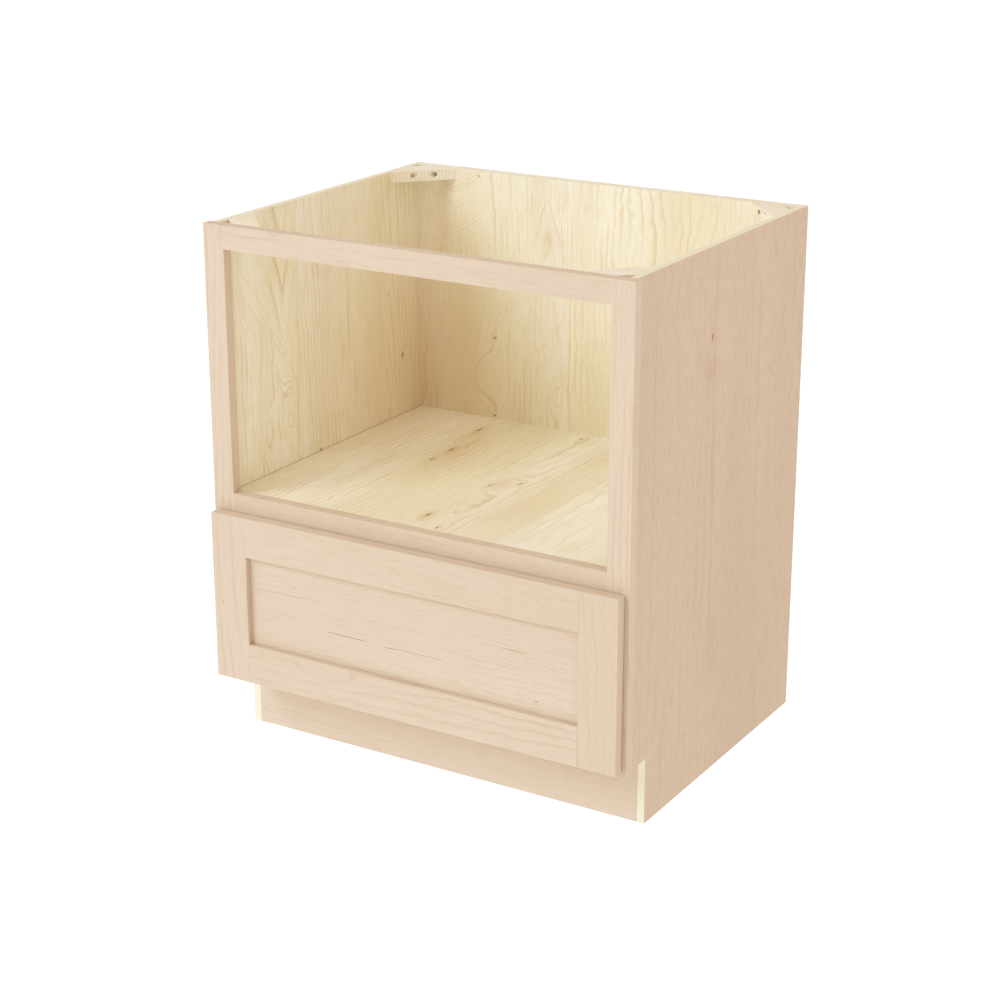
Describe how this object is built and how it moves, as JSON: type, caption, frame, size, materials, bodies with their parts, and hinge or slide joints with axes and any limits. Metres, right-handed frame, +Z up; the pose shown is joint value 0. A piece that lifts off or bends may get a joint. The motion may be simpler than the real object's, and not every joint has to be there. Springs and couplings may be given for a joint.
{
  "type": "microwave base cabinet",
  "caption": "Face-frame base cabinet with an open microwave bay, an open top with corner blocks, a recessed toe kick and one wide drawer with a framed front.",
  "frame": {"origin": "on the floor, in the middle of the overall width and of the overall depth with the drawer shut", "axes": "+Z up, -Y out of the front, +X to the right seen from the front"},
  "size_m": [0.762, 0.6302, 0.8763],
  "materials": {
    "side_veneer": "unfinished wood veneer, sanded",
    "face_frame": "unfinished solid wood, sanded",
    "toe_board": "unfinished wood veneer, sanded",
    "drawer_front_frame": "unfinished solid wood, sanded",
    "drawer_front_panel": "unfinished wood veneer, sanded",
    "plywood": "clear-coated plywood, satin",
    "block_wood": "bare wood, sanded",
    "drawer_wood": "bare wood, sanded",
    "drawer_plywood": "clear-coated plywood, satin",
    "dowel_wood": "bare wood",
    "runner_steel": "zinc-plated steel",
    "screw_steel": "zinc-plated steel",
    "bumper": "clear soft plastic"
  },
  "bodies": {
    "carcass": {"side_left": "side_veneer", "side_right": "side_veneer", "back_panel": "plywood", "hang_rail_top": "plywood", "hang_rail_bottom": "plywood", "deck": "plywood", "microwave_shelf": "plywood", "toe_board": "toe_board", "frame_stile_left": "face_frame", "frame_stile_right": "face_frame", "frame_rail_top": "face_frame", "frame_rail_middle": "face_frame", "frame_rail_bottom": "face_frame", "frame_dowels": "dowel_wood", "corner_block_front_left": "block_wood", "corner_block_front_right": "block_wood", "corner_block_back_left": "block_wood", "corner_block_back_right": "block_wood", "corner_block_screws": "screw_steel", "runner_cleat_left": "block_wood", "runner_cleat_right": "block_wood", "runner_cleat_screws": "screw_steel", "runner_outer_left": "runner_steel", "runner_outer_right": "runner_steel", "runner_outer_screws": "screw_steel"},
    "drawer": {"runner_drawer_left": "runner_steel", "runner_drawer_right": "runner_steel", "runner_drawer_screws": "screw_steel", "drawer_side_left": "drawer_wood", "drawer_side_right": "drawer_wood", "drawer_box_front": "drawer_wood", "drawer_box_back": "drawer_wood", "drawer_bottom": "drawer_plywood", "drawer_front_stile_left": "drawer_front_frame", "drawer_front_stile_right": "drawer_front_frame", "drawer_front_rail_top": "drawer_front_frame", "drawer_front_rail_bottom": "drawer_front_frame", "drawer_front_panel": "drawer_front_panel", "drawer_front_screws": "screw_steel", "drawer_front_bumpers": "bumper"},
    "runner_middle_left": {"runner_middle_left": "runner_steel"},
    "cage_outer_left": {"cage_outer_left": "runner_steel", "balls_outer_left": "runner_steel"},
    "cage_inner_left": {"cage_inner_left": "runner_steel", "balls_inner_left": "runner_steel"},
    "runner_middle_right": {"runner_middle_right": "runner_steel"},
    "cage_outer_right": {"cage_outer_right": "runner_steel", "balls_outer_right": "runner_steel"},
    "cage_inner_right": {"cage_inner_right": "runner_steel", "balls_inner_right": "runner_steel"}
  },
  "joints": [
    {"name": "drawer_slide", "type": "slide", "parent": "carcass", "child": "drawer", "axis": [0, -1, 0], "range_m": [0, 0.508]},
    {"name": "runner_middle_left_slide", "type": "slide", "parent": "carcass", "child": "runner_middle_left", "axis": [0, -1, 0], "range_m": [0, 0.254]},
    {"name": "cage_outer_left_slide", "type": "slide", "parent": "carcass", "child": "cage_outer_left", "axis": [0, -1, 0], "range_m": [0, 0.127]},
    {"name": "cage_inner_left_slide", "type": "slide", "parent": "carcass", "child": "cage_inner_left", "axis": [0, -1, 0], "range_m": [0, 0.381]},
    {"name": "runner_middle_right_slide", "type": "slide", "parent": "carcass", "child": "runner_middle_right", "axis": [0, -1, 0], "range_m": [0, 0.254]},
    {"name": "cage_outer_right_slide", "type": "slide", "parent": "carcass", "child": "cage_outer_right", "axis": [0, -1, 0], "range_m": [0, 0.127]},
    {"name": "cage_inner_right_slide", "type": "slide", "parent": "carcass", "child": "cage_inner_right", "axis": [0, -1, 0], "range_m": [0, 0.381]}
  ],
  "couplings": [
    {"joint": "runner_middle_left_slide", "follows": "drawer_slide", "ratio": 0.5},
    {"joint": "cage_outer_left_slide", "follows": "drawer_slide", "ratio": 0.25},
    {"joint": "cage_inner_left_slide", "follows": "drawer_slide", "ratio": 0.75},
    {"joint": "runner_middle_right_slide", "follows": "drawer_slide", "ratio": 0.5},
    {"joint": "cage_outer_right_slide", "follows": "drawer_slide", "ratio": 0.25},
    {"joint": "cage_inner_right_slide", "follows": "drawer_slide", "ratio": 0.75}
  ]
}
